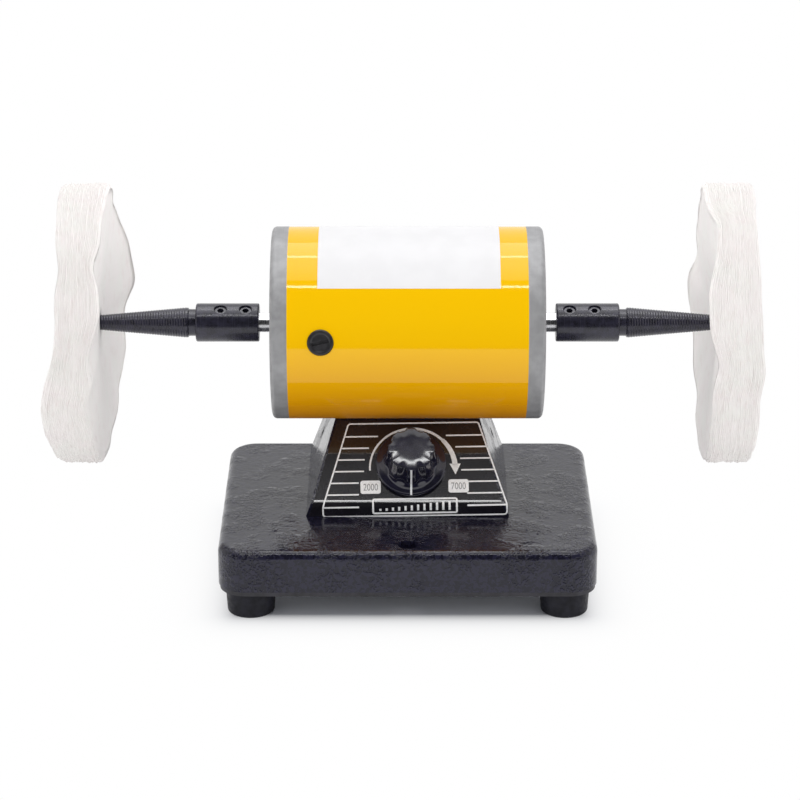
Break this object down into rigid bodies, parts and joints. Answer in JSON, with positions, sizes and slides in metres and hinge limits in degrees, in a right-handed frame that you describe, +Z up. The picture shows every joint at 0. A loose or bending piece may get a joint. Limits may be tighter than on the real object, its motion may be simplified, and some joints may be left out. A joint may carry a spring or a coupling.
{
  "type": "bench polishing lathe",
  "caption": "Small two-spindle polishing lathe: round brushed motor on a cast base with a sloped speed panel, tapered screw spindles and cloth buffing wheels.",
  "frame": {"origin": "middle of the whole lathe's footprint, at the height of the feet's undersides", "axes": "+X along the shaft to the right-hand wheel, +Y to the back, away from the control panel, +Z up"},
  "size_m": [0.2862, 0.1354, 0.1603],
  "materials": {
    "black_casting": "glossy black hammered paint",
    "dark_plate": "satin black paint",
    "foot_rubber": "semi-gloss black rubber",
    "screw_steel": "zinc plated",
    "panel_film": "glossy black film with white print",
    "knob_plastic": "moulded black, semi-gloss",
    "black_screw": "blackened",
    "board_green": "solder mask",
    "bare_aluminium": "extruded",
    "capacitor_sleeve": "shrink sleeve",
    "moulded_black": "moulded black",
    "yellow_enamel": "glossy yellow enamel",
    "cap_grey": "grey, turned and satin",
    "ferrite": "pressed ferrite",
    "bearing_steel": "ground and polished",
    "holder_brass": "drawn tube",
    "carbon": "pressed carbon",
    "shaft_steel": "ground",
    "core_steel": "stacked laminations",
    "copper": "copper",
    "blackened_steel": "blackened, oiled",
    "muslin": "unbleached muslin, stacked plies",
    "white_ink": "screen-printed white on the panel and knob",
    "label_film": "bare white label"
  },
  "bodies": {
    "base": {"base_casting": "black_casting", "bottom_plate": "dark_plate", "foot_front_left": "foot_rubber", "foot_front_right": "foot_rubber", "foot_rear_left": "foot_rubber", "foot_rear_right": "foot_rubber", "foot_screws": "screw_steel", "face_plate": "panel_film", "potentiometer": "screw_steel", "potentiometer_nut": "screw_steel", "board_bracket": "screw_steel", "side_screws": "black_screw", "circuit_board": "board_green", "board_screws": "screw_steel", "heat_sink": "bare_aluminium", "filter_capacitor": "capacitor_sleeve", "power_transistor": "moulded_black", "cord_gland": "moulded_black", "gland_nut": "moulded_black", "motor_housing": "yellow_enamel", "left_end_cap": "cap_grey", "right_end_cap": "cap_grey", "through_bolts": "screw_steel", "motor_screws": "screw_steel", "upper_magnet": "ferrite", "lower_magnet": "ferrite", "left_bearing_race": "bearing_steel", "right_bearing_race": "bearing_steel", "front_brush_holder": "holder_brass", "rear_brush_holder": "holder_brass", "carbon_brushes": "carbon", "brush_springs": "screw_steel", "front_brush_cap": "moulded_black", "rear_brush_cap": "moulded_black"},
    "rotor": {"rotor_shaft": "shaft_steel", "left_bearing_hub": "bearing_steel", "right_bearing_hub": "bearing_steel", "bearing_balls": "bearing_steel", "armature_core": "core_steel", "armature_winding": "copper", "commutator": "copper", "left_spindle": "blackened_steel", "right_spindle": "blackened_steel", "set_screws": "blackened_steel", "left_wheel": "muslin", "right_wheel": "muslin"},
    "knob": {"speed_knob": "knob_plastic", "potentiometer_shaft": "screw_steel"}
  },
  "joints": [
    {"name": "rotor_spin", "type": "hinge", "parent": "base", "child": "rotor", "pos_m": [0, 0.00925, 0.1018], "axis": [1, 0, 0], "continuous": true},
    {"name": "knob_turn", "type": "hinge", "parent": "base", "child": "knob", "pos_m": [0.0015, -0.01702, 0.04833], "axis": [0, 0.7071, -0.7071], "range_deg": [0, 300]}
  ]
}
